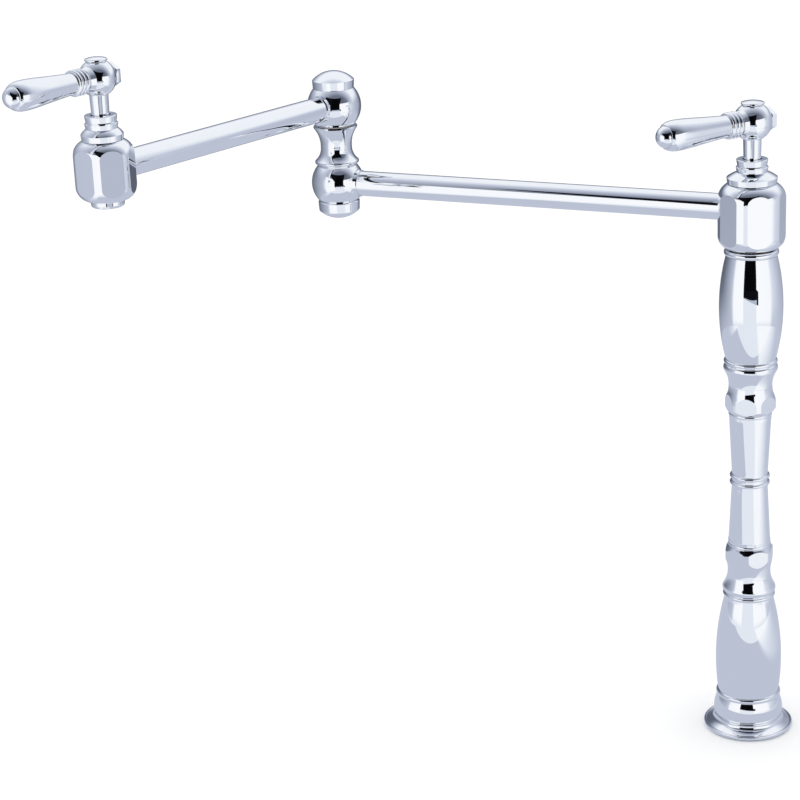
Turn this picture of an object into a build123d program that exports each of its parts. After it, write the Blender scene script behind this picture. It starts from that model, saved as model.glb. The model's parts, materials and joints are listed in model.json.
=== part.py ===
from build123d import *
import math
import os

os.makedirs("parts", exist_ok=True)

# Lengths are in mm, angles in degrees. The origin is the centre of the gasket's underside, on the deck.

# Arms: tube size, the height of each arm's centre line, its reach from axis to axis and its direction.
TUBE_R = 9.5
TUBE_BORE_R = 8.1
LOWER_Z = 404.0
UPPER_Z = 463.5
LOWER_REACH = 328.0
UPPER_REACH = 245.5
LOWER_AZIMUTH = 180.0
UPPER_AZIMUTH = 257.0

# Column: flange, the heights of its joints, and the mirror height of its two knuckles.
FLANGE_R = 33.2
COLLAR_LOW = 9.0
VASE_LOW = 26.0
COLUMN_MID = 200.1
SPINDLE_HALF = 47.6
KNUCKLE_END = 93.0
VASE_HIGH = 370.4
RING_HIGH = 375.0
KNUCKLE_HEX = 16.75
UPPER_KNUCKLE_AZIMUTH = -24.0
LOWER_KNUCKLE_AZIMUTH = 10.0

# Water way: core tube, swivel posts and the clearances they run with.
SHANK_R = 13.0
SHANK_LOW = -75.0
CORE_R = 8.0
CORE_BORE_R = 5.5
POST_R = 8.5
BEARING_R = 8.6
GROOVE_R = 7.2
SLIP = 0.05

# Under the deck: its thickness as fitted here, and the nut that clamps it.
DECK = 30.0
NUT_HEX = 18.0

# Valves: the top face of each body, its turned radius, hexagon and round shoulders.
COLUMN_TOP = 423.0
OUTLET_TOP = 484.2
COLUMN_BODY_R = 24.1
COLUMN_BODY_HEX = 22.6
COLUMN_BODY_LOW = 375.9
OUTLET_BODY_R = 21.1
OUTLET_BODY_HEX = 19.45
OUTLET_BODY_LOW = 443.0
CARTRIDGE_BORE_R = 10.2
SEAT_DEPTH = 32.0

# Levers: height of each handle above its valve's top face, the ball, and each lever's direction.
COLUMN_LEVER_RISE = 43.6
OUTLET_LEVER_RISE = 42.1
COLUMN_LEVER_BALL_R = 13.9
OUTLET_LEVER_BALL_R = 13.0
STEM_R = 6.05
COLUMN_LEVER_AZIMUTH = 236.5
OUTLET_LEVER_AZIMUTH = 257.0

# Elbow: the two balls, the spool between them and the caps.
LOWER_BALL_R = 20.2
UPPER_BALL_R = 20.5
SPOOL_LOW = 418.8
SPOOL_HIGH = 448.3
UPPER_BALL_LOW = 449.1
UPPER_BALL_HIGH = 476.9
LOWER_BALL_LOW = 389.8
CAP_R = 15.95


def compass(azimuth):
    """Unit vector on the ground at this azimuth, counted from +X towards +Y."""
    return math.cos(math.radians(azimuth)), math.sin(math.radians(azimuth))


def upright(x, y, z=0.0, azimuth=0.0):
    """Drawing plane that stands on a point: local X is outwards along the azimuth, local Y is up."""
    c, s = compass(azimuth)
    return Plane(origin=(x, y, z), x_dir=(c, s, 0), z_dir=(s, -c, 0))


def across(at, azimuth, distance, height):
    """Drawing plane square to a level line that leaves the upright axis of a plane at this azimuth."""
    c, s = compass(azimuth)
    origin = at.origin + Vector(c * distance, s * distance, height)
    return Plane(origin=origin, x_dir=(-s, c, 0), z_dir=(c, s, 0))


def standing_axis(at):
    return Axis(at.origin, (0, 0, 1))


def crown(edge_r, edge_z, top_z):
    """Half-way point of the round crown that runs from this edge to its top on the axis."""
    ball_r = (edge_r**2 + (top_z - edge_z) ** 2) / (2 * (top_z - edge_z))
    half_angle = math.asin(edge_r / abs(ball_r)) / 2
    return abs(ball_r) * math.sin(half_angle), top_z - ball_r * (1 - math.cos(half_angle))


def save(name, piece):
    piece.part.label = name
    export_step(piece.part, f"parts/{name}.step")


ELBOW_XY = tuple(LOWER_REACH * u for u in compass(LOWER_AZIMUTH))
OUTLET_XY = tuple(e + UPPER_REACH * u for e, u in zip(ELBOW_XY, compass(UPPER_AZIMUTH)))
COLUMN = upright(0, 0)
ELBOW = upright(*ELBOW_XY)
OUTLET = upright(*OUTLET_XY)


def ring(at, inner_r, outer_r, low, high):
    """Plain ring or bush about an upright axis."""
    with BuildPart() as piece:
        with BuildSketch(at):
            Polygon((inner_r, low), (outer_r, low), (outer_r, high), (inner_r, high), align=None)
        revolve(axis=standing_axis(at))
    return piece


def o_rings(at, heights, centre_r=7.88, section_r=0.65):
    """Rubber rings on a swivel post, one solid each."""
    with BuildPart() as piece:
        with BuildSketch(at):
            with Locations(*[(centre_r, height) for height in heights]):
                Circle(section_r)
        revolve(axis=standing_axis(at))
    return piece


def swivel_post(at, low, high, bore_r, groove_heights):
    """Hollow post that a joint turns on, with a groove for each rubber ring."""
    with BuildPart() as piece:
        with BuildSketch(at):
            Polygon((bore_r, low), (POST_R, low), (POST_R, high), (bore_r, high), align=None)
            with Locations(*[(POST_R, height) for height in groove_heights]):
                Rectangle(2 * (POST_R - GROOVE_R), 1.6, mode=Mode.SUBTRACT)
        revolve(axis=standing_axis(at))
    return piece


def bored_hexagon(low, high, apothem, bore_r, azimuth=0.0):
    """Hexagonal nut about the column's axis, with its corners turned off at both ends."""
    with BuildPart() as piece:
        with BuildSketch(Plane.XY.offset(low)):
            RegularPolygon(apothem, 6, major_radius=False, rotation=30 + azimuth)
            Circle(bore_r, mode=Mode.SUBTRACT)
        extrude(amount=high - low)
        corner_r = apothem / math.cos(math.radians(30))
        turned_off = corner_r - apothem
        with BuildSketch(COLUMN):
            Polygon(
                (0, low),
                (apothem, low),
                (corner_r, low + turned_off),
                (corner_r, high - turned_off),
                (apothem, high),
                (0, high),
                align=None,
            )
        revolve(axis=Axis.Z, mode=Mode.INTERSECT)
    return piece


# Column, from the deck up.

with BuildPart() as deck_flange:
    with BuildSketch(COLUMN):
        with BuildLine():
            Polyline(
                (SHANK_R + 0.3, COLLAR_LOW),
                (SHANK_R + 0.3, 2),
                (31, 2),
                (31, 1),
                (FLANGE_R - 1.1, 1),
            )
            ThreePointArc((FLANGE_R - 1.1, 1), (FLANGE_R - 0.3, 1.4), (FLANGE_R, 2.2))
            Line((FLANGE_R, 2.2), (FLANGE_R, 3.2))
            ThreePointArc((FLANGE_R, 3.2), (32.4, 4.0), (31.3, 3.7))
            Polyline((31.3, 3.7), (31.1, 4.0), (27.0, 5.7))
            ThreePointArc((27.0, 5.7), (25.7, 6.8), (24.9, COLLAR_LOW))
            Line((24.9, COLLAR_LOW), (SHANK_R + 0.3, COLLAR_LOW))
        make_face()
    revolve(axis=Axis.Z)

with BuildPart() as base_collar:
    with BuildSketch(COLUMN):
        with BuildLine():
            ThreePointArc((24.0, COLLAR_LOW), (25.2, 11.2), (25.6, 14.0))
            ThreePointArc((25.6, 14.0), (24.9, 20.4), (22.5, VASE_LOW))
            Polyline(
                (22.5, VASE_LOW),
                (SHANK_R + 0.3, VASE_LOW),
                (SHANK_R + 0.3, COLLAR_LOW),
                (24.0, COLLAR_LOW),
            )
        make_face()
    revolve(axis=Axis.Z)

with BuildPart() as lower_vase:
    vase_top = COLUMN_MID - KNUCKLE_END
    with BuildSketch(COLUMN):
        with BuildLine():
            Polyline((16, 100), (16, VASE_LOW), (22.1, VASE_LOW), (22.7, 30.6))
            ThreePointArc((22.7, 30.6), (24.4, 57), (18.35, 105))
            Polyline(
                (18.35, 105),
                (18.0, vase_top),
                (CORE_R + SLIP, vase_top),
                (CORE_R + SLIP, 100),
                (16, 100),
            )
        make_face()
        with Locations((22.1, VASE_LOW + 2.1)):
            Circle(2.1)
    revolve(axis=Axis.Z)

with BuildPart() as upper_vase:
    vase_foot = COLUMN_MID + KNUCKLE_END
    with BuildSketch(COLUMN):
        with BuildLine():
            Polyline((CORE_R + SLIP, vase_foot), (18.15, vase_foot))
            ThreePointArc((18.15, vase_foot), (23.0, 332), (18.25, VASE_HIGH))
            Polyline(
                (18.25, VASE_HIGH),
                (POST_R + SLIP, VASE_HIGH),
                (POST_R + SLIP, 362),
                (16, 362),
                (16, 302),
            )
            Polyline((16, 302), (CORE_R + SLIP, 302), (CORE_R + SLIP, vase_foot))
        make_face()
    revolve(axis=Axis.Z)


def knuckle(at, hex_low, azimuth):
    """Hexagonal knuckle of the column. Heights grow away from the column's middle, up or down."""
    with BuildPart() as piece:
        with BuildSketch(at):
            with BuildLine():
                Polyline((CORE_R + SLIP, SPINDLE_HALF), (15.45, SPINDLE_HALF), (15.45, 50.0))
                ThreePointArc((15.45, 50.0), (15.85, 51.1), (15.45, 52.2))
                Polyline((15.45, 52.2), (15.9, 52.4), (18.4, 55.6), (18.4, 60.5))
                Spline(
                    (18.4, 60.5),
                    (16.8, 66.0),
                    (15.8, 72.5),
                    (16.7, 79.0),
                    (19.2, 84.4),
                    tangents=((0, 1), (0.6, 1)),
                )
                ThreePointArc((19.2, 84.4), (19.7, 86.4), (19.0, 88.6))
                Polyline((19.0, 88.6), (18.2, 89.4), (18.2, KNUCKLE_END), (CORE_R + SLIP, KNUCKLE_END))
                Line((CORE_R + SLIP, KNUCKLE_END), (CORE_R + SLIP, SPINDLE_HALF))
            make_face()
            with Locations((17.85, 91.3)):
                Circle(1.6)
        revolve(axis=Axis.Z)
        with BuildSketch(Plane.XY.offset(hex_low)):
            Circle(22)
            RegularPolygon(KNUCKLE_HEX, 6, major_radius=False, rotation=30 + azimuth, mode=Mode.SUBTRACT)
        extrude(amount=20, mode=Mode.SUBTRACT)
    return piece


FROM_MIDDLE_DOWN = Plane(origin=(0, 0, COLUMN_MID), x_dir=(1, 0, 0), z_dir=(0, 1, 0))
FROM_MIDDLE_UP = upright(0, 0, COLUMN_MID)
lower_knuckle = knuckle(FROM_MIDDLE_DOWN, COLUMN_MID - 73, LOWER_KNUCKLE_AZIMUTH)
upper_knuckle = knuckle(FROM_MIDDLE_UP, COLUMN_MID + 53, UPPER_KNUCKLE_AZIMUTH)

with BuildPart() as centre_spindle:
    with BuildSketch(FROM_MIDDLE_UP):
        Polygon(
            (CORE_R + SLIP, -SPINDLE_HALF),
            (15.3, -SPINDLE_HALF),
            (13.2, -6),
            (13.0, 0),
            (13.2, 6),
            (15.3, SPINDLE_HALF),
            (CORE_R + SLIP, SPINDLE_HALF),
            align=None,
        )
        with Locations((13.4, -2.6), (13.4, 2.6)):
            Circle(1.3)
    revolve(axis=Axis.Z)

with BuildPart() as top_ring:
    with BuildSketch(COLUMN):
        with BuildLine():
            Polyline(
                (17.9, RING_HIGH),
                (POST_R + SLIP, RING_HIGH),
                (POST_R + SLIP, VASE_HIGH),
                (17.9, VASE_HIGH),
            )
            ThreePointArc((17.9, VASE_HIGH), (19.65, (VASE_HIGH + RING_HIGH) / 2), (17.9, RING_HIGH))
        make_face()
    revolve(axis=Axis.Z)

# Water way and fixings of the column.

with BuildPart() as mounting_shank:
    with BuildSketch(COLUMN):
        Polygon(
            (9.55, SHANK_LOW),
            (SHANK_R, SHANK_LOW),
            (SHANK_R, VASE_LOW - 0.5),
            (CORE_R + SLIP, VASE_LOW - 0.5),
            (CORE_R + SLIP, 14),
            (6.5, 14),
            (6.5, SHANK_LOW + 9),
            (9.55, SHANK_LOW + 9),
            align=None,
        )
    revolve(axis=Axis.Z)

with BuildPart() as core_tube:
    with BuildSketch(COLUMN):
        Polygon(
            (CORE_BORE_R, 14),
            (CORE_R, 14),
            (CORE_R, 336),
            (7.0, 336),
            (7.0, 349),
            (CORE_BORE_R, 349),
            align=None,
        )
    revolve(axis=Axis.Z)

POST_TOP = 390.6
BASE_RINGS = (379.0, 383.0)
with BuildPart() as column_post:
    add(swivel_post(COLUMN, 336, POST_TOP, CORE_BORE_R, BASE_RINGS))
    with BuildSketch(Plane.XY.offset(336)):
        Circle(7.05)
    extrude(amount=14, mode=Mode.SUBTRACT)

with BuildPart() as inlet_nipple:
    with BuildSketch(COLUMN):
        Polygon(
            (6.5, -95),
            (10.45, -95),
            (10.45, SHANK_LOW),
            (9.5, SHANK_LOW),
            (9.5, SHANK_LOW + 8.8),
            (6.5, SHANK_LOW + 8.8),
            align=None,
        )
    revolve(axis=Axis.Z)

save("deck_flange", deck_flange)
save("flange_gasket", ring(COLUMN, SHANK_R + 0.5, 30.7, 0, 2))
save("base_collar", base_collar)
save("lower_vase", lower_vase)
save("lower_knuckle", lower_knuckle)
save("centre_spindle", centre_spindle)
save("upper_knuckle", upper_knuckle)
save("upper_vase", upper_vase)
save("top_ring", top_ring)
save("mounting_shank", mounting_shank)
save("core_tube", core_tube)
save("column_post", column_post)
save("column_post_rings", o_rings(COLUMN, BASE_RINGS))
save("column_thrust_washer", ring(COLUMN, POST_R + SLIP, 13.0, RING_HIGH, RING_HIGH + 0.6))
save("column_post_nut", ring(COLUMN, POST_R + SLIP, 9.7, 386.5, 390.4))
save("inlet_nipple", inlet_nipple)
save("deck_rubber_washer", ring(COLUMN, SHANK_R + 0.1, 22, -DECK - 3, -DECK))
save("deck_steel_washer", ring(COLUMN, SHANK_R + 0.1, 21, -DECK - 5, -DECK - 3))
save("lock_nut", bored_hexagon(-DECK - 14, -DECK - 5, NUT_HEX, SHANK_R + SLIP))


# Valve bodies, cartridges and bonnets.


def hex_body(at, low, top, turned_r, apothem, low_round, high_round, arm_height, arm_azimuth):
    """Turned body with round shoulders and six flats, bored for its cartridge and for the arm's tube."""
    low_start = low + low_round - 0.9
    high_start = top - high_round + 0.5
    low_r = turned_r - low_round + math.sqrt(low_round**2 - (low_start - low) ** 2)
    high_r = turned_r - high_round + math.sqrt(high_round**2 - (top - high_start) ** 2)
    halfway = math.sqrt(0.5)
    with BuildPart() as piece:
        with BuildSketch(at):
            with BuildLine():
                Line((0, low), (low_r, low))
                ThreePointArc(
                    (low_r, low),
                    (turned_r - low_round * (1 - halfway), low_start - low_round * halfway),
                    (turned_r, low_start),
                )
                Line((turned_r, low_start), (turned_r, high_start))
                ThreePointArc(
                    (turned_r, high_start),
                    (turned_r - high_round * (1 - halfway), high_start + high_round * halfway),
                    (high_r, top),
                )
                Polyline((high_r, top), (0, top), (0, low))
            make_face()
        revolve(axis=standing_axis(at))
        x, y, _ = at.origin
        with BuildSketch(Plane(origin=(x, y, low))):
            RegularPolygon(apothem, 6, major_radius=False, rotation=30 + arm_azimuth)
        extrude(amount=top - low, mode=Mode.INTERSECT)
        with BuildSketch(Plane(origin=(x, y, top))):
            Circle(CARTRIDGE_BORE_R)
        extrude(amount=-SEAT_DEPTH, mode=Mode.SUBTRACT)
        with BuildSketch(across(at, arm_azimuth, 0, arm_height)):
            Circle(TUBE_BORE_R)
        extrude(amount=turned_r, mode=Mode.SUBTRACT)
        with BuildSketch(across(at, arm_azimuth, apothem - 4, arm_height)):
            Circle(TUBE_R + SLIP)
        extrude(amount=10, mode=Mode.SUBTRACT)
    return piece


BACK_TO_ELBOW = UPPER_AZIMUTH - 180

with BuildPart() as column_valve_body:
    add(
        hex_body(
            COLUMN,
            low=COLUMN_BODY_LOW,
            top=COLUMN_TOP,
            turned_r=COLUMN_BODY_R,
            apothem=COLUMN_BODY_HEX,
            low_round=10,
            high_round=12,
            arm_height=LOWER_Z,
            arm_azimuth=LOWER_AZIMUTH,
        )
    )
    with BuildSketch(COLUMN):
        Polygon(
            (0, COLUMN_BODY_LOW),
            (BEARING_R, COLUMN_BODY_LOW),
            (BEARING_R, 386),
            (CARTRIDGE_BORE_R, 386),
            (CARTRIDGE_BORE_R, COLUMN_TOP - SEAT_DEPTH),
            (0, COLUMN_TOP - SEAT_DEPTH),
            align=None,
        )
    revolve(axis=Axis.Z, mode=Mode.SUBTRACT)

with BuildPart() as outlet_valve_body:
    add(
        hex_body(
            OUTLET,
            low=OUTLET_BODY_LOW,
            top=OUTLET_TOP,
            turned_r=OUTLET_BODY_R,
            apothem=OUTLET_BODY_HEX,
            low_round=11,
            high_round=11,
            arm_height=UPPER_Z,
            arm_azimuth=BACK_TO_ELBOW,
        )
    )
    with BuildSketch(OUTLET):
        Polygon(
            (0, OUTLET_BODY_LOW),
            (9.0, OUTLET_BODY_LOW),
            (9.0, OUTLET_BODY_LOW + 7),
            (7.0, OUTLET_TOP - SEAT_DEPTH),
            (0, OUTLET_TOP - SEAT_DEPTH),
            align=None,
        )
    revolve(axis=standing_axis(OUTLET), mode=Mode.SUBTRACT)

save("column_valve_body", column_valve_body)
save("outlet_valve_body", outlet_valve_body)


def cartridge_housing(at, arm_azimuth):
    """Brass shell of the ceramic cartridge, with two side windows into the space that the arm opens on."""
    with BuildPart() as piece:
        with BuildSketch(at):
            Polygon(
                (6.5, -29),
                (8.0, -29),
                (8.0, -10),
                (10.1, -10),
                (10.1, -6.5),
                (7.5, -6.5),
                (7.5, 10),
                (4.05, 10),
                (4.05, -18),
                (6.5, -18),
                align=None,
            )
        revolve(axis=standing_axis(at))
        with BuildSketch(across(at, arm_azimuth, -12, -21)):
            Circle(2.6)
        extrude(amount=24, mode=Mode.SUBTRACT)
    return piece


def ceramic_disc(at, radius, low, high, bore_azimuth):
    """Ceramic disc with two water holes."""
    x, y, z = at.origin
    c, s = compass(bore_azimuth)
    with BuildPart() as piece:
        with BuildSketch(Plane(origin=(x, y, z + low))):
            Circle(radius)
            with Locations((3 * c, 3 * s), (-3 * c, -3 * s)):
                Circle(1.9, mode=Mode.SUBTRACT)
        extrude(amount=high - low)
    return piece


def cartridge_stem(at, rise):
    """Driver flange on the turning disc, round stem, and the slimmer end that the lever sits on."""
    with BuildPart() as piece:
        with BuildSketch(at):
            Polygon(
                (0, -23.7),
                (6.2, -23.7),
                (6.2, -18.3),
                (3.95, -18.3),
                (3.95, 13.5),
                (3.5, 13.5),
                (3.5, rise - 6),
                (2.0, rise - 6),
                (2.0, 24),
                (0, 24),
                align=None,
            )
        revolve(axis=standing_axis(at))
    return piece


def bonnet(at, flare_r):
    """Flared bonnet: spigot in the body, sharp rim, low skirt and plain band."""
    with BuildPart() as piece:
        with BuildSketch(at):
            with BuildLine():
                Polyline(
                    (7.6, -6.4),
                    (10.1, -6.4),
                    (10.1, 0),
                    (flare_r - 0.5, 0),
                    (flare_r, 4.0),
                )
                ThreePointArc((flare_r, 4.0), (flare_r / 2 + 5.6, 6.2), (10.8, 7.9))
                Polyline((10.8, 7.9), (11.5, 11.4), (10.1, 11.9), (7.6, 11.9), (7.6, -6.4))
            make_face()
        revolve(axis=standing_axis(at))
    return piece


def bonnet_nut(at):
    """Round packing nut with a flat top and a narrow foot, open for the lever's stem."""
    with BuildPart() as piece:
        with BuildSketch(at):
            Polygon(
                (7.6, 11.9),
                (10.1, 11.9),
                (10.5, 12.7),
                (11.2, 16.8),
                (10.8, 17.2),
                (6.9, 17.2),
                (6.9, 13.6),
                (7.6, 13.6),
                align=None,
            )
        revolve(axis=standing_axis(at))
    return piece


# Levers.


def ball_flat(ball_r):
    """Height of the flat that the button sits on, above the ball's centre."""
    return 0.875 * ball_r


def lever_hub(at, azimuth, rise, ball_r):
    """Ball and stem in one, bored for the cartridge stem, the screw, the handle and the plug behind."""
    flat = rise + ball_flat(ball_r)
    flat_r = math.sqrt(ball_r**2 - ball_flat(ball_r) ** 2)
    with BuildPart() as piece:
        with BuildSketch(at):
            with BuildLine():
                ThreePointArc((0, rise - ball_r), (ball_r, rise), (flat_r, flat))
                Polyline((flat_r, flat), (0, flat), (0, rise - ball_r))
            make_face()
            Polygon((0, 14.2), (STEM_R, 14.2), (STEM_R + 0.7, rise), (0, rise), align=None)
            Polygon(
                (0, 14.2),
                (3.6, 14.2),
                (3.6, rise - 5.4),
                (2.1, rise - 5.4),
                (2.1, rise + 5),
                (4.2, rise + 5),
                (4.2, flat),
                (0, flat),
                align=None,
                mode=Mode.SUBTRACT,
            )
        revolve(axis=standing_axis(at))
        with BuildSketch(across(at, azimuth, 9.4, rise)):
            Circle(0.7 * ball_r)
        extrude(amount=4, taper=16)
        with BuildSketch(across(at, azimuth, 6.0, rise)):
            Circle(4.05)
        extrude(amount=10, mode=Mode.SUBTRACT)
        with BuildSketch(across(at, azimuth + 180, 6.0, rise)):
            Circle(4.05)
        extrude(amount=10, mode=Mode.SUBTRACT)
        with BuildSketch(across(at, azimuth + 180, ball_r - 2.1, rise)):
            Circle(10)
        extrude(amount=4, mode=Mode.SUBTRACT)
    return piece


def lever_handle(at, rise, ball_r):
    """Turned handle: spigot, neck, three rings, swelling grip and a rounded tip behind a groove."""
    level = Plane(origin=at.from_local_coords((0, rise, 0)), x_dir=at.x_dir, z_dir=at.z_dir)
    girth = ball_r / 13.9
    neck_r, grip_r, shoulder_r, tip_r = 7.4 * girth, 10.8 * girth, 8.8 * girth, 7.6 * girth
    tip_start, tip_end = 77.9, 83.4
    tip_middle_r, tip_middle = crown(tip_r, tip_start, tip_end)
    with BuildPart() as piece:
        with BuildSketch(level):
            with BuildLine():
                Polyline(
                    (6.1, 0),
                    (6.1, 4),
                    (13.5, 4),
                    (13.5, neck_r),
                    (24.2, neck_r),
                    (24.2, neck_r + 0.3),
                )
                Spline(
                    (24.2, neck_r + 0.3),
                    (46, 9.35 * girth),
                    (67.0, grip_r),
                    (73.0, 10.3 * girth),
                    (76.4, shoulder_r),
                    tangents=((1, 0.06), (0.8, -1)),
                )
                Polyline((76.4, shoulder_r), (76.9, shoulder_r - 0.5), (77.1, tip_r - 0.4), (77.6, tip_r - 0.4))
                Line((77.6, tip_r - 0.4), (tip_start, tip_r))
                ThreePointArc((tip_start, tip_r), (tip_middle, tip_middle_r), (tip_end, 0))
                Line((tip_end, 0), (6.1, 0))
            make_face()
            with Locations((16.0, neck_r + 0.6), (19.2, neck_r + 0.6), (22.4, neck_r + 0.6)):
                Circle(1.5)
        revolve(axis=Axis(level.origin, at.x_dir))
    return piece


def lever_plug(at, azimuth, rise, ball_r):
    """Hexagonal plug that closes the ball behind the handle."""
    with BuildPart() as piece:
        with BuildSketch(across(at, azimuth + 180, ball_r - 2.1, rise)):
            RegularPolygon(7.7, 6, major_radius=False, rotation=90)
        extrude(amount=4.2)
        chamfer(piece.faces().sort_by(Axis(at.origin, -at.x_dir))[-1].edges(), 0.7)
        with BuildSketch(across(at, azimuth + 180, 6.1, rise)):
            Circle(4)
        extrude(amount=ball_r - 8.2)
    return piece


def lever_button(at, rise, ball_r):
    """Domed button that covers the lever's screw."""
    base = rise + ball_flat(ball_r)
    rim_r = 0.595 * ball_r
    top_r = rim_r - 0.35
    with BuildPart() as piece:
        with BuildSketch(at):
            with BuildLine():
                Polyline(
                    (0, base - 1.6),
                    (4.1, base - 1.6),
                    (4.1, base),
                    (rim_r - 0.6, base),
                    (rim_r, base + 0.6),
                    (rim_r, base + 1.3),
                    (top_r, base + 1.7),
                )
                ThreePointArc((top_r, base + 1.7), crown(top_r, base + 1.7, base + 2.9), (0, base + 2.9))
                Line((0, base + 2.9), (0, base - 1.6))
            make_face()
        revolve(axis=standing_axis(at))
    return piece


def lever_screw(at, rise):
    """Screw that holds the lever's hub down on the cartridge stem."""
    seat = rise + 5
    with BuildPart() as piece:
        with BuildSketch(at):
            Polygon(
                (0, rise - 13),
                (1.95, rise - 13),
                (1.95, seat),
                (3.6, seat),
                (3.6, seat + 3.5),
                (1.6, seat + 3.5),
                (1.6, seat + 1.5),
                (0, seat + 1.5),
                align=None,
            )
        revolve(axis=standing_axis(at))
    return piece


def save_valve(name, at, arm_azimuth, flare_r, lever_azimuth, rise, ball_r):
    """Everything in and on one valve body, from the seat inside it to the lever."""
    save(f"{name}_valve_seat", ring(at, 5, CARTRIDGE_BORE_R - SLIP, -SEAT_DEPTH, -29))
    save(f"{name}_cartridge_housing", cartridge_housing(at, arm_azimuth))
    save(f"{name}_fixed_disc", ceramic_disc(at, 6.4, -28.9, -26.5, arm_azimuth))
    save(f"{name}_turning_disc", ceramic_disc(at, 6.2, -26.2, -23.7, arm_azimuth + 90))
    save(f"{name}_cartridge_stem", cartridge_stem(at, rise))
    save(f"{name}_bonnet", bonnet(at, flare_r))
    save(f"{name}_bonnet_nut", bonnet_nut(at))
    save(f"{name}_lever_hub", lever_hub(at, lever_azimuth, rise, ball_r))
    save(f"{name}_lever_handle", lever_handle(at, rise, ball_r))
    save(f"{name}_lever_plug", lever_plug(at, lever_azimuth, rise, ball_r))
    save(f"{name}_lever_button", lever_button(at, rise, ball_r))
    save(f"{name}_lever_screw", lever_screw(at, rise))


save_valve(
    "column",
    upright(0, 0, COLUMN_TOP, COLUMN_LEVER_AZIMUTH),
    arm_azimuth=LOWER_AZIMUTH,
    flare_r=18.0,
    lever_azimuth=COLUMN_LEVER_AZIMUTH,
    rise=COLUMN_LEVER_RISE,
    ball_r=COLUMN_LEVER_BALL_R,
)
save_valve(
    "outlet",
    upright(*OUTLET_XY, OUTLET_TOP, OUTLET_LEVER_AZIMUTH),
    arm_azimuth=BACK_TO_ELBOW,
    flare_r=14.65,
    lever_azimuth=OUTLET_LEVER_AZIMUTH,
    rise=OUTLET_LEVER_RISE,
    ball_r=OUTLET_LEVER_BALL_R,
)


# Arm tubes and elbow.


def arm_tube(at, azimuth, height, start, end):
    with BuildPart() as piece:
        with BuildSketch(across(at, azimuth, start, height)):
            Circle(TUBE_R)
            Circle(TUBE_BORE_R, mode=Mode.SUBTRACT)
        extrude(amount=end - start)
    return piece


SOCKET = 15.0
lower_arm_tube = arm_tube(COLUMN, LOWER_AZIMUTH, LOWER_Z, COLUMN_BODY_HEX - 4, LOWER_REACH - SOCKET)
upper_arm_tube = arm_tube(ELBOW, UPPER_AZIMUTH, UPPER_Z, SOCKET, UPPER_REACH - OUTLET_BODY_HEX + 4)


def elbow_ball(ball_r, centre, low, high, azimuth):
    """Ball with flat ends, a short bevelled boss for the arm's tube, and the tube's socket and port."""
    low_r = math.sqrt(ball_r**2 - (centre - low) ** 2)
    high_r = math.sqrt(ball_r**2 - (high - centre) ** 2)
    with BuildPart() as piece:
        with BuildSketch(upright(*ELBOW_XY, azimuth=azimuth + 90)):
            with BuildLine():
                Line((0, low), (low_r, low))
                ThreePointArc((low_r, low), (ball_r, centre), (high_r, high))
                Polyline((high_r, high), (0, high), (0, low))
            make_face()
        revolve(axis=standing_axis(ELBOW))
        with BuildSketch(across(ELBOW, azimuth, 14, centre)):
            Circle(11.4)
        extrude(amount=5.6, taper=12)
        with BuildSketch(across(ELBOW, azimuth, 0, centre)):
            Circle(TUBE_BORE_R)
        extrude(amount=25, mode=Mode.SUBTRACT)
        with BuildSketch(across(ELBOW, azimuth, SOCKET, centre)):
            Circle(TUBE_R + SLIP)
        extrude(amount=10, mode=Mode.SUBTRACT)
    return piece


with BuildPart() as elbow_lower_ball:
    add(elbow_ball(LOWER_BALL_R, LOWER_Z, LOWER_BALL_LOW, SPOOL_LOW, LOWER_AZIMUTH + 180))
    with BuildSketch(ELBOW):
        Polygon(
            (0, LOWER_BALL_LOW),
            (9.05, LOWER_BALL_LOW),
            (9.05, 394),
            (11, 396),
            (11, 411),
            (POST_R + SLIP, 412),
            (POST_R + SLIP, SPOOL_LOW),
            (0, SPOOL_LOW),
            align=None,
        )
    revolve(axis=standing_axis(ELBOW), mode=Mode.SUBTRACT)

with BuildPart() as elbow_upper_ball:
    add(elbow_ball(UPPER_BALL_R, UPPER_Z, UPPER_BALL_LOW, UPPER_BALL_HIGH, UPPER_AZIMUTH))
    with BuildSketch(ELBOW):
        Polygon(
            (0, UPPER_BALL_LOW),
            (BEARING_R, UPPER_BALL_LOW),
            (BEARING_R, 455.5),
            (12, 455.5),
            (12, UPPER_BALL_HIGH),
            (0, UPPER_BALL_HIGH),
            align=None,
        )
    revolve(axis=standing_axis(ELBOW), mode=Mode.SUBTRACT)

with BuildPart() as elbow_spool:
    with BuildSketch(ELBOW):
        with BuildLine():
            Line((POST_R + SLIP, SPOOL_LOW), (15.4, SPOOL_LOW))
            ThreePointArc((15.4, SPOOL_LOW), (16.8, 420.2), (15.9, 421.9))
            ThreePointArc((15.9, 421.9), (12.7, 426.9), (11.95, 432.2))
            ThreePointArc((11.95, 432.2), (12.9, 439.6), (16.1, 446.0))
            Polyline((16.1, 446.0), (16.9, 447.2), (16.5, SPOOL_HIGH), (POST_R + SLIP, SPOOL_HIGH))
            Line((POST_R + SLIP, SPOOL_HIGH), (POST_R + SLIP, SPOOL_LOW))
        make_face()
    revolve(axis=standing_axis(ELBOW))

ELBOW_RINGS = (452.0, 472.5)
with BuildPart() as elbow_post:
    add(swivel_post(ELBOW, 412, 479, 6, ELBOW_RINGS))
    for port_azimuth in (UPPER_AZIMUTH, UPPER_AZIMUTH + 90):
        with BuildSketch(across(ELBOW, port_azimuth, -12, UPPER_Z)):
            Circle(4.5)
        extrude(amount=24, mode=Mode.SUBTRACT)

with BuildPart() as elbow_post_nut:
    with BuildSketch(ELBOW):
        Polygon(
            (POST_R + SLIP, 474.9),
            (10.8, 474.9),
            (10.8, 480.6),
            (0, 480.6),
            (0, 479.1),
            (POST_R + SLIP, 479.1),
            align=None,
        )
    revolve(axis=standing_axis(ELBOW))

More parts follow.
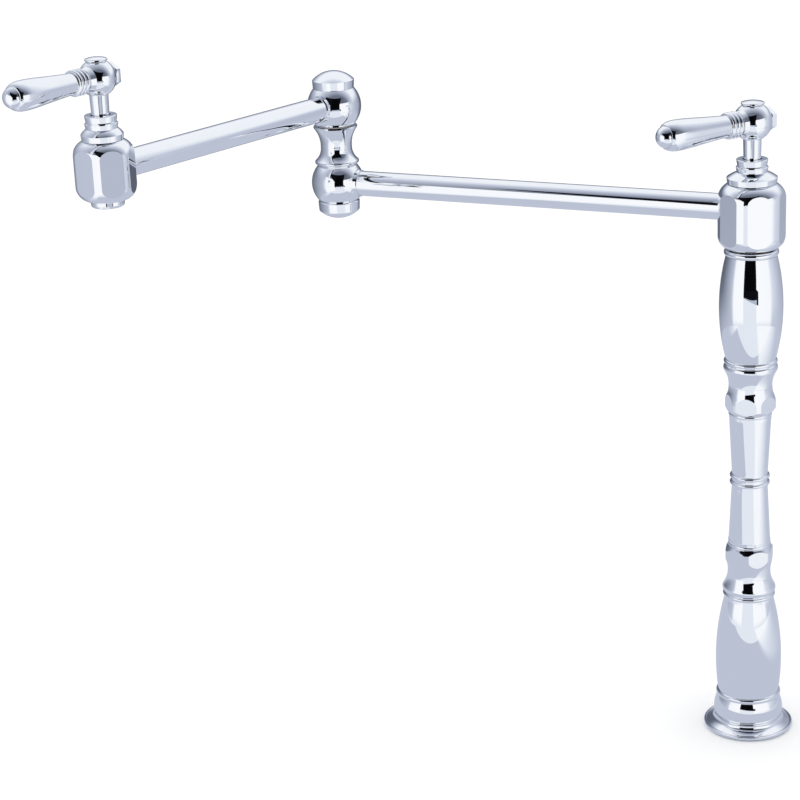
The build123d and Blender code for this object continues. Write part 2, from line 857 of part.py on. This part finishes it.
with BuildPart() as elbow_top_cap:
    with BuildSketch(ELBOW):
        with BuildLine():
            Polyline(
                (11.6, 482.5),
                (11.6, UPPER_BALL_HIGH),
                (15.2, UPPER_BALL_HIGH),
                (CAP_R - 0.35, 477.3),
                (CAP_R, 483.2),
            )
            ThreePointArc((CAP_R, 483.2), crown(CAP_R, 483.2, 490.1), (0, 490.1))
            Polyline((0, 490.1), (0, 482.5), (11.6, 482.5))
        make_face()
    revolve(axis=standing_axis(ELBOW))

with BuildPart() as elbow_bottom_cap:
    with BuildSketch(ELBOW):
        with BuildLine():
            Polyline((0, 393.8), (9, 393.8), (9, LOWER_BALL_LOW), (15.6, LOWER_BALL_LOW), (CAP_R, 389.4))
            Line((CAP_R, 389.4), (CAP_R - 0.4, 382.6))
            ThreePointArc((CAP_R - 0.4, 382.6), crown(CAP_R - 0.4, 382.6, 376.2), (0, 376.2))
            Line((0, 376.2), (0, 393.8))
        make_face()
    revolve(axis=standing_axis(ELBOW))

save("lower_arm_tube", lower_arm_tube)
save("elbow_lower_ball", elbow_lower_ball)
save("elbow_bottom_cap", elbow_bottom_cap)
save("elbow_spool", elbow_spool)
save("elbow_post", elbow_post)
save("elbow_post_rings", o_rings(ELBOW, ELBOW_RINGS))
save("elbow_post_nut", elbow_post_nut)
save("elbow_thrust_washer", ring(ELBOW, POST_R + SLIP, 13, SPOOL_HIGH, SPOOL_HIGH + 0.5))
save("elbow_upper_ball", elbow_upper_ball)
save("elbow_upper_bush", ring(ELBOW, BEARING_R, 12 - SLIP, 470.5, 474.5))
save("elbow_top_cap", elbow_top_cap)
save("upper_arm_tube", upper_arm_tube)

# Aerator, under the outlet valve.

with BuildPart() as aerator_ring:
    with BuildSketch(OUTLET):
        Polygon(
            (8.0, 438.0),
            (10.2, 438.0),
            (11.1, 438.6),
            (11.55, 439.8),
            (11.55, OUTLET_BODY_LOW),
            (8.95, OUTLET_BODY_LOW),
            (8.95, OUTLET_BODY_LOW + 6.6),
            (8.0, OUTLET_BODY_LOW + 6.6),
            align=None,
        )
    revolve(axis=standing_axis(OUTLET))

with BuildPart() as aerator_insert:
    with BuildSketch(Plane(origin=(*OUTLET_XY, 439))):
        Circle(7.95)
        with PolarLocations(5.4, 12):
            Circle(0.9, mode=Mode.SUBTRACT)
        with PolarLocations(2.6, 6):
            Circle(0.9, mode=Mode.SUBTRACT)
    extrude(amount=8)

save("aerator_ring", aerator_ring)
save("aerator_insert", aerator_insert)
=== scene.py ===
"""Deck mount pot filler in polished chrome: materials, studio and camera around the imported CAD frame."""

import json
import math

import bmesh
import bpy
from mathutils import Matrix, Vector


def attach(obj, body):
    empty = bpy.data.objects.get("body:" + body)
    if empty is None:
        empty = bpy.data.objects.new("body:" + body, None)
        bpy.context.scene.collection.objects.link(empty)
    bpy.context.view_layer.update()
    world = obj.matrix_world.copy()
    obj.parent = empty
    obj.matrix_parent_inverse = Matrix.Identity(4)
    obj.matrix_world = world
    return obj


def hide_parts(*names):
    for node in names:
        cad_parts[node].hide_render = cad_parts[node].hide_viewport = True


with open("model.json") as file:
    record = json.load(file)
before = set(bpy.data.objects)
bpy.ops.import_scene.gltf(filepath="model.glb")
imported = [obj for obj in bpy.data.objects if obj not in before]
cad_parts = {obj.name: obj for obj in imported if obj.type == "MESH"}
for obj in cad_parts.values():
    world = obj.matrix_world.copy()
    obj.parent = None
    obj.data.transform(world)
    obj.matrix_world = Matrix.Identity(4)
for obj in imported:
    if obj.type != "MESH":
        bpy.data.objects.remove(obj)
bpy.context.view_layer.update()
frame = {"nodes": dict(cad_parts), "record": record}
nodes = frame["nodes"]
scene = bpy.context.scene
scene.view_settings.view_transform = "Standard"


# Camera at the photograph's viewpoint.

CAMERA_TURN = math.radians(25.71)
CAMERA_PITCH = math.radians(18.461)
CAMERA_ROLL = math.radians(2.519)
CAMERA_PLACE = Vector((-0.2554, -1.5629, 0.7942))
CAMERA_LENS = 101.84
SENSOR_WIDTH = 36
NEAREST = 0.01
FARTHEST = 100


def make_camera():
    """Camera of the photograph, whose view is turned by CAMERA_TURN about the upright axis."""
    forward = Vector((0, math.cos(CAMERA_PITCH), -math.sin(CAMERA_PITCH)))
    right = Vector((1, 0, 0))
    down = forward.cross(right)
    across = right * math.cos(CAMERA_ROLL) + down * math.sin(CAMERA_ROLL)
    up = right * math.sin(CAMERA_ROLL) - down * math.cos(CAMERA_ROLL)
    turn = Matrix.Rotation(CAMERA_TURN, 4, "Z")
    pose = Matrix((across, up, -forward)).transposed().to_4x4()
    pose.translation = CAMERA_PLACE
    data = bpy.data.cameras.new("camera")
    data.lens = CAMERA_LENS
    data.sensor_width = SENSOR_WIDTH
    data.clip_start = NEAREST
    data.clip_end = FARTHEST
    camera = bpy.data.objects.new("camera", data)
    camera.matrix_world = turn @ pose
    scene.collection.objects.link(camera)
    scene.camera = camera


# Node helpers.


class Graph:
    """A node tree with short calls for the nodes that the materials use."""

    def __init__(self, tree):
        self.tree = tree
        self.tree.nodes.clear()

    def add(self, kind, inputs=(), **settings):
        node = self.tree.nodes.new(kind)
        for key, value in settings.items():
            setattr(node, key, value)
        for socket, value in dict(inputs).items():
            self.feed(node.inputs[socket], value)
        return node

    def feed(self, socket, value):
        if isinstance(value, bpy.types.NodeSocket):
            self.tree.links.new(value, socket)
        else:
            socket.default_value = value

    def math(self, operation, *values):
        node = self.tree.nodes.new("ShaderNodeMath")
        node.operation = operation
        for socket, value in zip(node.inputs, values):
            self.feed(socket, value)
        return node.outputs[0]

    def ramp(self, value, low, high, out_low=0.0, out_high=1.0, soft=True):
        """Runs from out_low to out_high while value runs from low to high."""
        inputs = {
            "Value": value,
            "From Min": low,
            "From Max": high,
            "To Min": out_low,
            "To Max": out_high,
        }
        kind = "SMOOTHSTEP" if soft else "LINEAR"
        return self.add("ShaderNodeMapRange", inputs, interpolation_type=kind).outputs[0]

    def mix(self, factor, first, second):
        """Mix of two colours. A Mix node has its sockets for colours after those for numbers."""
        node = self.add("ShaderNodeMix", {0: factor, 6: first, 7: second}, data_type="RGBA")
        return node.outputs[2]

    def blend(self, factor, first, second):
        """Mix of two numbers: first where factor is 0, second where it is 1."""
        return self.add("ShaderNodeMix", {0: factor, 2: first, 3: second}, data_type="FLOAT").outputs[0]

    def mix_shaders(self, factor, first, second):
        return self.add("ShaderNodeMixShader", {0: factor, 1: first, 2: second}).outputs[0]

    def glow(self, colour, strength):
        return self.add("ShaderNodeEmission", {"Color": colour, "Strength": strength}).outputs[0]

    def overlap(self, *masks):
        """Mask of where all of these masks are."""
        result = masks[0]
        for mask in masks[1:]:
            result = self.math("MULTIPLY", result, mask)
        return result

    def tones(self, value, stops):
        """Looks value up in a table of pairs: a value, and its tone or colour."""
        node = self.add("ShaderNodeValToRGB")
        low, high = stops[0][0], stops[-1][0]
        self.feed(node.inputs[0], self.ramp(value, low, high, soft=False))
        elements = node.color_ramp.elements
        while len(elements) < len(stops):
            elements.new(0.5)
        for element, (at, tone) in zip(elements, stops):
            element.position = (at - low) / (high - low)
            element.color = tone if isinstance(tone, tuple) else (tone, tone, tone, 1)
        return node.outputs[0]

    def noise(self, vector, scale, detail=3.0, roughness=0.5):
        inputs = {"Vector": vector, "Scale": scale, "Detail": detail, "Roughness": roughness}
        return self.add("ShaderNodeTexNoise", inputs).outputs[0]

    def bump(self, height, distance, strength):
        inputs = {"Strength": strength, "Distance": distance, "Height": height}
        return self.add("ShaderNodeBump", inputs).outputs[0]


def new_material(name):
    """Material with its node graph, its object coordinates and its main shader."""
    material = bpy.data.materials.new(name)
    material.use_nodes = True
    graph = Graph(material.node_tree)
    place = graph.add("ShaderNodeTexCoord").outputs["Object"]
    shader = graph.add("ShaderNodeBsdfPrincipled")
    output = graph.add("ShaderNodeOutputMaterial")
    graph.tree.links.new(shader.outputs[0], output.inputs[0])
    return material, graph, place, shader


# Materials. Colours are linear, noise scales are per metre and bump heights are in metres.

CHROME_DULL = (0.90, 0.915, 0.945, 1)
CHROME_BRIGHT = (0.94, 0.95, 0.965, 1)
CLOUD_SCALE = 45.0
WIPE_SCALE = 420.0
WAVE_SCALE = 70.0
CHROME_ROUGHNESS = 0.008
WIPE_ROUGHNESS = 0.014
CLOUD_ROUGHNESS = 0.012
WAVE_HEIGHT = 0.00006
WAVE_STRENGTH = 0.25


def chrome_material():
    """Polished plate with faint wiping marks, a cloudy tint and a very slow wave."""
    material, graph, place, shader = new_material("chrome")
    cloud = graph.noise(place, CLOUD_SCALE, detail=2.0)
    wipe = graph.noise(place, WIPE_SCALE, detail=4.0, roughness=0.6)
    graph.feed(shader.inputs["Metallic"], 1.0)
    colour = graph.mix(cloud, CHROME_DULL, CHROME_BRIGHT)
    graph.feed(shader.inputs["Base Color"], colour)
    haze = graph.math("MULTIPLY_ADD", wipe, WIPE_ROUGHNESS, CHROME_ROUGHNESS)
    rough = graph.math("MULTIPLY_ADD", cloud, CLOUD_ROUGHNESS, haze)
    graph.feed(shader.inputs["Roughness"], rough)
    wave = graph.noise(place, WAVE_SCALE, detail=1.0)
    graph.feed(shader.inputs["Normal"], graph.bump(wave, WAVE_HEIGHT, WAVE_STRENGTH))
    return material


# Name, two colours, cloud scale, metallic, lowest and highest roughness, bump height.
PLAIN_LOOKS = [
    ("brass", (0.72, 0.52, 0.24, 1), (0.80, 0.60, 0.31, 1), 160, 1.0, 0.22, 0.38, 0.00003),
    ("rubber", (0.018, 0.018, 0.019, 1), (0.035, 0.035, 0.036, 1), 300, 0.0, 0.5, 0.7, 0.00004),
    ("ceramic", (0.80, 0.79, 0.76, 1), (0.86, 0.85, 0.83, 1), 250, 0.0, 0.12, 0.25, 0.00001),
    ("nylon", (0.74, 0.74, 0.72, 1), (0.81, 0.81, 0.79, 1), 200, 0.0, 0.35, 0.5, 0.00002),
    ("steel", (0.55, 0.55, 0.54, 1), (0.66, 0.66, 0.65, 1), 220, 1.0, 0.22, 0.4, 0.00002),
]
CLOUD_RANGE = (0.2, 0.8)
GRAIN_TO_CLOUD = 9
GRAIN_STRENGTH = 0.5


def plain_material(name, first, second, scale, metallic, rough_low, rough_high, bump_height):
    """Clouded colour and roughness, with a fine grain over them."""
    material, graph, place, shader = new_material(name)
    cloud = graph.noise(place, scale, detail=5.0, roughness=0.6)
    graph.feed(shader.inputs["Metallic"], metallic)
    graph.feed(shader.inputs["Base Color"], graph.mix(cloud, first, second))
    rough = graph.ramp(cloud, *CLOUD_RANGE, rough_low, rough_high)
    graph.feed(shader.inputs["Roughness"], rough)
    grain = graph.noise(place, scale * GRAIN_TO_CLOUD, detail=3.0)
    graph.feed(shader.inputs["Normal"], graph.bump(grain, bump_height, GRAIN_STRENGTH))
    return material


def dress_nodes():
    """Gives every solid the material that the record names for it."""
    looks = {"chrome": chrome_material()}
    for values in PLAIN_LOOKS:
        looks[values[0]] = plain_material(*values)
    for part in frame["record"]["subparts"]:
        mesh = nodes[part["node"]].data
        mesh.materials.clear()
        mesh.materials.append(looks[part["material_slot"]])


# Screw threads under the deck. Lengths are in mm, and an outline is a closed list of (radius, height).

SEGMENTS = 64
ROWS_PER_TURN = 6
MM_PER_M = 1000
FLAT_AT_ROOT = 0.12
FLANK_SHARE = 0.76
END_SLOPE = 1.2
RUN_OUT = 0.4
CREASE_ANGLE = math.radians(28)

SHANK_WALL = [
    (9.55, -75),
    (13, -75),
    (13, 25.5),
    (8.05, 25.5),
    (8.05, 14),
    (6.5, 14),
    (6.5, -66),
    (9.55, -66),
]
SHANK_THREAD = {"low": -75, "high": -1.5, "pitch": 1.5, "depth": 0.85}
NIPPLE_WALL = [
    (6.5, -95),
    (10.45, -95),
    (10.45, -75),
    (9.5, -75),
    (9.5, -66.2),
    (6.5, -66.2),
]
NIPPLE_THREAD = {"low": -95, "high": -78, "pitch": 1.8, "depth": 1.0}


def cut_radius(crest, thread, height, share_of_turn):
    """Radius of the threaded wall at this height and share of a turn."""
    wave = abs(2 * ((height / thread["pitch"] - share_of_turn) % 1) - 1)
    ridge = min(1, max(0, (wave - FLAT_AT_ROOT) / FLANK_SHARE))
    root = crest - thread["depth"]
    lead_in = (height - thread["low"]) * END_SLOPE
    run_out = max(0, (thread["high"] - height) * END_SLOPE)
    return max(root, root + min(thread["depth"] * ridge, lead_in, run_out))


def threaded_sleeve(name, node, body, wall, thread):
    """Turned sleeve in place of a plain node.

    The outside of its wall, from the second point to the third, carries the thread from its foot up.
    """
    crest = wall[1][0]
    top = wall[2][1]
    step = thread["pitch"] / ROWS_PER_TURN
    count = int((thread["high"] - thread["low"]) / step)
    heights = [thread["low"] + step * i for i in range(count + 1)]
    heights += [thread["high"] + RUN_OUT, top]
    outline = [(*wall[0], False)]
    outline += [(crest, height, height <= thread["high"]) for height in heights]
    outline += [(radius, height, False) for radius, height in wall[3:]]
    build = bmesh.new()
    rows = []
    for radius, height, cut in outline:
        row = []
        for i in range(SEGMENTS):
            share = i / SEGMENTS
            reach = cut_radius(crest, thread, height, share) if cut else radius
            angle = 2 * math.pi * share
            across = reach * math.cos(angle) / MM_PER_M
            along = reach * math.sin(angle) / MM_PER_M
            place = (across, along, height / MM_PER_M)
            row.append(build.verts.new(place))
        rows.append(row)
    for first, second in zip(rows, rows[1:] + rows[:1]):
        for i in range(SEGMENTS):
            j = (i + 1) % SEGMENTS
            build.faces.new((first[i], first[j], second[j], second[i]))
    bmesh.ops.recalc_face_normals(build, faces=build.faces)
    mesh = bpy.data.meshes.new(name)
    build.to_mesh(mesh)
    build.free()
    mesh.shade_smooth()
    mesh.set_sharp_from_angle(angle=CREASE_ANGLE)
    mesh.materials.append(nodes[node].data.materials[0])
    sleeve = bpy.data.objects.new(name, mesh)
    scene.collection.objects.link(sleeve)
    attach(sleeve, body)
    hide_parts(node)


def screw_threads():
    threaded_sleeve("threaded_shank", "mounting_shank", "column", SHANK_WALL, SHANK_THREAD)
    threaded_sleeve("threaded_nipple", "inlet_nipple", "column", NIPPLE_WALL, NIPPLE_THREAD)


# Studio. Tones run from 0, black, to 1, white. Directions are in degrees from the shell's centre:
# turn is to the camera's right of the front, and rise is above level. Places are in metres.


def linear(red, green, blue):
    """Linear colour of an 8 bit display colour."""
    values = [v / 255 for v in (red, green, blue)]
    return tuple(v / 12.92 if v < 0.04045 else ((v + 0.055) / 1.055) ** 2.4 for v in values) + (1,)


# Each tone, and the colour that stands for it.
STUDIO_TINTS = [
    (0.0, linear(8, 8, 11)),
    (0.16, linear(36, 39, 48)),
    (0.45, linear(108, 115, 130)),
    (0.76, linear(188, 194, 210)),
    (0.90, linear(226, 231, 239)),
    (1.0, linear(255, 255, 255)),
]
STUDIO_LEVEL = 1.06
STUDIO_CENTRE = (0, 0, 0.4)
STUDIO_RADIUS = 0.9
DARK_RADIUS = 6.0
DARK_LEVEL = 1.0
ROUND_SEGMENTS = 96
BLACK = 0.02
PAPER = 0.76
BEYOND_PAPER = 0.905
CARD_WHITE = 0.97
DIM = 0.36

# Tone above the cards, by how far the direction points to the front.
CEILING_TONES = [(-1, 0.96), (-0.3, 0.94), (0, 0.78), (0.25, 0.62), (0.5, 0.44), (1, 0.44)]

# Tone at the height of the cards, by turn.
ROUND_TONES = [
    (-180, 0.34),
    (-150, 0.36),
    (-115, 0.54),
    (-88, 0.71),
    (-82, 0.77),
    (-74, CARD_WHITE),
    (-37, 0.985),
    (9, 0.985),
    (62, CARD_WHITE),
    (75, 0.85),
    (95, 0.78),
    (125, 0.68),
    (148, 0.60),
    (164, 0.40),
    (180, 0.34),
]

# Edges that a mask passes over, each as where it starts and where it is full.
CARDS_LEFT = (-82, -74)
CARDS_RIGHT = (74, 64)
CARD_TOP = (22, 23)
CARD_FOOT = (-23, -31)
FADE_TO_CEILING = (4, 34)
FADE_TO_TABLE = (-10, -34)
GAP_LEFT = (-37, -36)
GAP_RIGHT = (10, 9)
GAP_FOOT = (-32, -27)
OPENING_LEFT = (-31.0, -30.2)
OPENING_RIGHT = (4.2, 3.4)
SILL_EDGE = (-0.3, 0.3)
CEILING_EDGE = (2.5, -1.0)
DIM_RIGHT = (46, 30)
DIM_LEFT = (8, 10)
DIM_FOOT = (22, 23.5)
RIGHT_SPREAD_END = (0.8, -0.4)
RIGHT_SPREAD_START = (7, 8)
RIGHT_SPREAD_FOOT = (13, 15)
LEFT_SPREAD_END = (-71, -66)
LEFT_SPREAD_START = (-34, -36)
LEFT_SPREAD_FOOT = (-0.8, 0.4)
FLARE = (-5.5, -7.5)

# Degrees that the right side of the gap moves out by in the flare near its foot.
FLARE_WIDTH = 6.5

# Sloping edges, each as degrees per degree and the value at zero.
SILL_LINE = (-0.085, -13.65)
CEILING_LINE = (0.15, 47.4)
RIGHT_LINE = (0.4, 3.2)
LEFT_LINE = (-0.70, -12.0)


def studio_glow(graph, tone):
    """Light of the studio's colour at this tone."""
    return graph.glow(graph.tones(tone, STUDIO_TINTS), STUDIO_LEVEL)


def past_line(graph, value, along, line):
    """How far a direction's value lies past a sloping edge."""
    slope, at_zero = line
    return graph.math("SUBTRACT", value, graph.math("MULTIPLY_ADD", along, slope, at_zero))


def shell_tone(graph, place):
    """Tone of the studio round the object, by the direction from the shell's centre.

    White cards stand in front, with a dark gap between and above them. A pale ceiling, grey
    sides and a dim back close it. The second value is 1 where the gap is open.
    """
    unit = graph.add("ShaderNodeVectorMath", {0: place}, operation="NORMALIZE").outputs[0]
    split = graph.add("ShaderNodeSeparateXYZ", {0: unit})
    x, y, z = split.outputs
    front = graph.math("MULTIPLY", y, -1.0)
    turn = graph.math("DEGREES", graph.math("ARCTAN2", x, front))
    rise = graph.math("DEGREES", graph.math("ARCSINE", z))

    above = graph.tones(front, CEILING_TONES)
    middle = graph.tones(turn, ROUND_TONES)
    card = graph.overlap(graph.ramp(turn, *CARDS_LEFT), graph.ramp(turn, *CARDS_RIGHT))
    gap_left = graph.ramp(turn, *GAP_LEFT)
    gap = graph.overlap(gap_left, graph.ramp(turn, *GAP_RIGHT))

    # Sides and back fade into the ceiling; the cards end in an edge.
    to_ceiling = graph.blend(card, graph.ramp(rise, *FADE_TO_CEILING), graph.ramp(rise, *CARD_TOP))
    tone = graph.blend(to_ceiling, middle, above)

    # Below the cards and the gap.
    to_table = graph.blend(card, graph.ramp(rise, *FADE_TO_TABLE), graph.ramp(rise, *CARD_FOOT))
    tone = graph.blend(to_table, tone, PAPER)
    over_sill = graph.ramp(past_line(graph, rise, turn, SILL_LINE), *SILL_EDGE)
    under_sill = graph.math("SUBTRACT", 1.0, over_sill)
    sill = graph.overlap(gap, under_sill, graph.ramp(rise, *GAP_FOOT))
    tone = graph.blend(sill, tone, BEYOND_PAPER)

    # Dim strip above the right card.
    under_ceiling = graph.ramp(past_line(graph, rise, turn, CEILING_LINE), *CEILING_EDGE)
    dim = graph.overlap(
        graph.ramp(turn, *DIM_RIGHT),
        graph.ramp(turn, *DIM_LEFT),
        graph.ramp(rise, *DIM_FOOT),
        under_ceiling,
    )
    tone = graph.blend(dim, tone, DIM)

    # Dark edges that the gap spreads into above both cards.
    right = graph.overlap(
        graph.ramp(past_line(graph, turn, rise, RIGHT_LINE), *RIGHT_SPREAD_END),
        graph.ramp(turn, *RIGHT_SPREAD_START),
        graph.ramp(rise, *RIGHT_SPREAD_FOOT),
        under_ceiling,
    )
    left = graph.overlap(
        graph.ramp(turn, *LEFT_SPREAD_END),
        graph.ramp(turn, *LEFT_SPREAD_START),
        graph.ramp(past_line(graph, rise, turn, LEFT_LINE), *LEFT_SPREAD_FOOT),
        under_ceiling,
    )
    tone = graph.blend(graph.math("MAXIMUM", right, left), tone, BLACK)

    # The gap, which widens to the right near the sill: dark rims at its sides, and an opening
    # between them.
    flare = graph.ramp(rise, *FLARE)
    turn_at_right = graph.math("MULTIPLY_ADD", flare, -FLARE_WIDTH, turn)
    rims = graph.overlap(gap_left, graph.ramp(turn_at_right, *GAP_RIGHT), over_sill, under_ceiling)
    opening = graph.overlap(
        graph.ramp(turn, *OPENING_LEFT),
        graph.ramp(turn_at_right, *OPENING_RIGHT),
        over_sill,
        under_ceiling,
    )
    return graph.blend(rims, tone, BLACK), opening


# The table: where its grey paper ends in front and at the sides, and where the far floor is lost.

PAPER_MIDDLE = -0.25
PAPER_HALF_WIDTH = 0.40
PAPER_FRONT = (-0.355, -0.365)
PAPER_SIDE = (-0.02, 0.05)
SIDE_FADE = (0.20, -0.45)
FAR_FLOOR_END = (-2.30, -2.40)
FAR_FLOOR = 0.72
BEYOND_SHELL = (STUDIO_RADIUS, STUDIO_RADIUS + 0.02)
FLOOR_RADIUS = 14
FLOOR_ROUGHNESS = 0.9
SKY_LEVEL = 1.10


def floor_tone(graph, place):
    """Tone of the table top as the metal sees it.

    Grey paper runs up to a front edge, with white beyond it. Past the studio's shell only
    the gap shows the floor, grey up to where it is lost in the dark.
    """
    split = graph.add("ShaderNodeSeparateXYZ", {0: place})
    x, y = split.outputs[:2]
    from_middle = graph.math("ABSOLUTE", graph.math("ADD", x, -PAPER_MIDDLE))
    aside = graph.math("SUBTRACT", from_middle, PAPER_HALF_WIDTH)
    outside = graph.ramp(aside, *PAPER_SIDE)
    near = graph.blend(outside, PAPER, graph.ramp(y, *SIDE_FADE, PAPER, CARD_WHITE))
    far = graph.blend(outside, BEYOND_PAPER, CARD_WHITE)
    table = graph.blend(graph.ramp(y, *PAPER_FRONT), near, far)
    distance = graph.add("ShaderNodeVectorMath", {0: place}, operation="LENGTH").outputs["Value"]
    far_floor = graph.ramp(y, *FAR_FLOOR_END, FAR_FLOOR, BLACK)
    return graph.blend(graph.ramp(distance, *BEYOND_SHELL), table, far_floor)


def staged(name, build):
    """Object of the studio, square to the camera and no part of the pot filler."""
    mesh = bpy.data.meshes.new(name)
    build.to_mesh(mesh)
    build.free()
    thing = bpy.data.objects.new(name, mesh)
    thing.rotation_euler = (0, 0, CAMERA_TURN)
    scene.collection.objects.link(thing)
    return thing


def surface_input(graph):
    """Where a material's output takes its surface."""
    return next(n for n in graph.tree.nodes if n.type == "OUTPUT_MATERIAL").inputs[0]


def make_floor():
    """White to the camera, and the studio's table to a reflection."""
    build = bmesh.new()
    bmesh.ops.create_circle(build, cap_ends=True, segments=ROUND_SEGMENTS, radius=FLOOR_RADIUS)
    floor = staged("floor", build)
    material, graph, place, shader = new_material("floor")
    graph.feed(shader.inputs["Base Color"], (1, 1, 1, 1))
    graph.feed(shader.inputs["Roughness"], FLOOR_ROUGHNESS)
    seen = graph.add("ShaderNodeLightPath")
    mirrored = graph.math("MAXIMUM", seen.outputs["Is Glossy Ray"], seen.outputs["Is Transmission Ray"])
    table = studio_glow(graph, floor_tone(graph, place))
    look = graph.mix_shaders(mirrored, shader.outputs[0], table)
    graph.feed(surface_input(graph), look)
    material.cycles.emission_sampling = "NONE"
    floor.data.materials.append(material)


def make_shell(name, radius, look):
    """A sphere that only the metal sees. look(graph, place) returns its surface."""
    build = bmesh.new()
    rings = ROUND_SEGMENTS // 2
    bmesh.ops.create_uvsphere(build, u_segments=ROUND_SEGMENTS, v_segments=rings, radius=radius)
    shell = staged(name, build)
    shell.location = STUDIO_CENTRE
    shell.visible_camera = False
    shell.visible_diffuse = False
    shell.visible_shadow = False
    shell.visible_volume_scatter = False
    material, graph, place, shader = new_material(name)
    graph.feed(surface_input(graph), look(graph, place))
    graph.tree.nodes.remove(shader)
    material.cycles.emission_sampling = "NONE"
    shell.data.materials.append(material)


def studio_look(graph, place):
    tone, opening = shell_tone(graph, place)
    clear = graph.add("ShaderNodeBsdfTransparent").outputs[0]
    return graph.mix_shaders(opening, studio_glow(graph, tone), clear)


def dark_look(graph, place):
    return graph.glow(STUDIO_TINTS[0][1], DARK_LEVEL)


def make_world():
    """Even white light from all round."""
    world = bpy.data.worlds.new("studio")
    scene.world = world
    world.use_nodes = True
    graph = Graph(world.node_tree)
    back = graph.add("ShaderNodeBackground", {"Color": (1, 1, 1, 1), "Strength": SKY_LEVEL})
    output = graph.add("ShaderNodeOutputWorld")
    graph.tree.links.new(back.outputs[0], output.inputs[0])


make_camera()
dress_nodes()
screw_threads()
make_floor()
make_shell("studio", STUDIO_RADIUS, studio_look)
make_shell("dark_room", DARK_RADIUS, dark_look)
make_world()
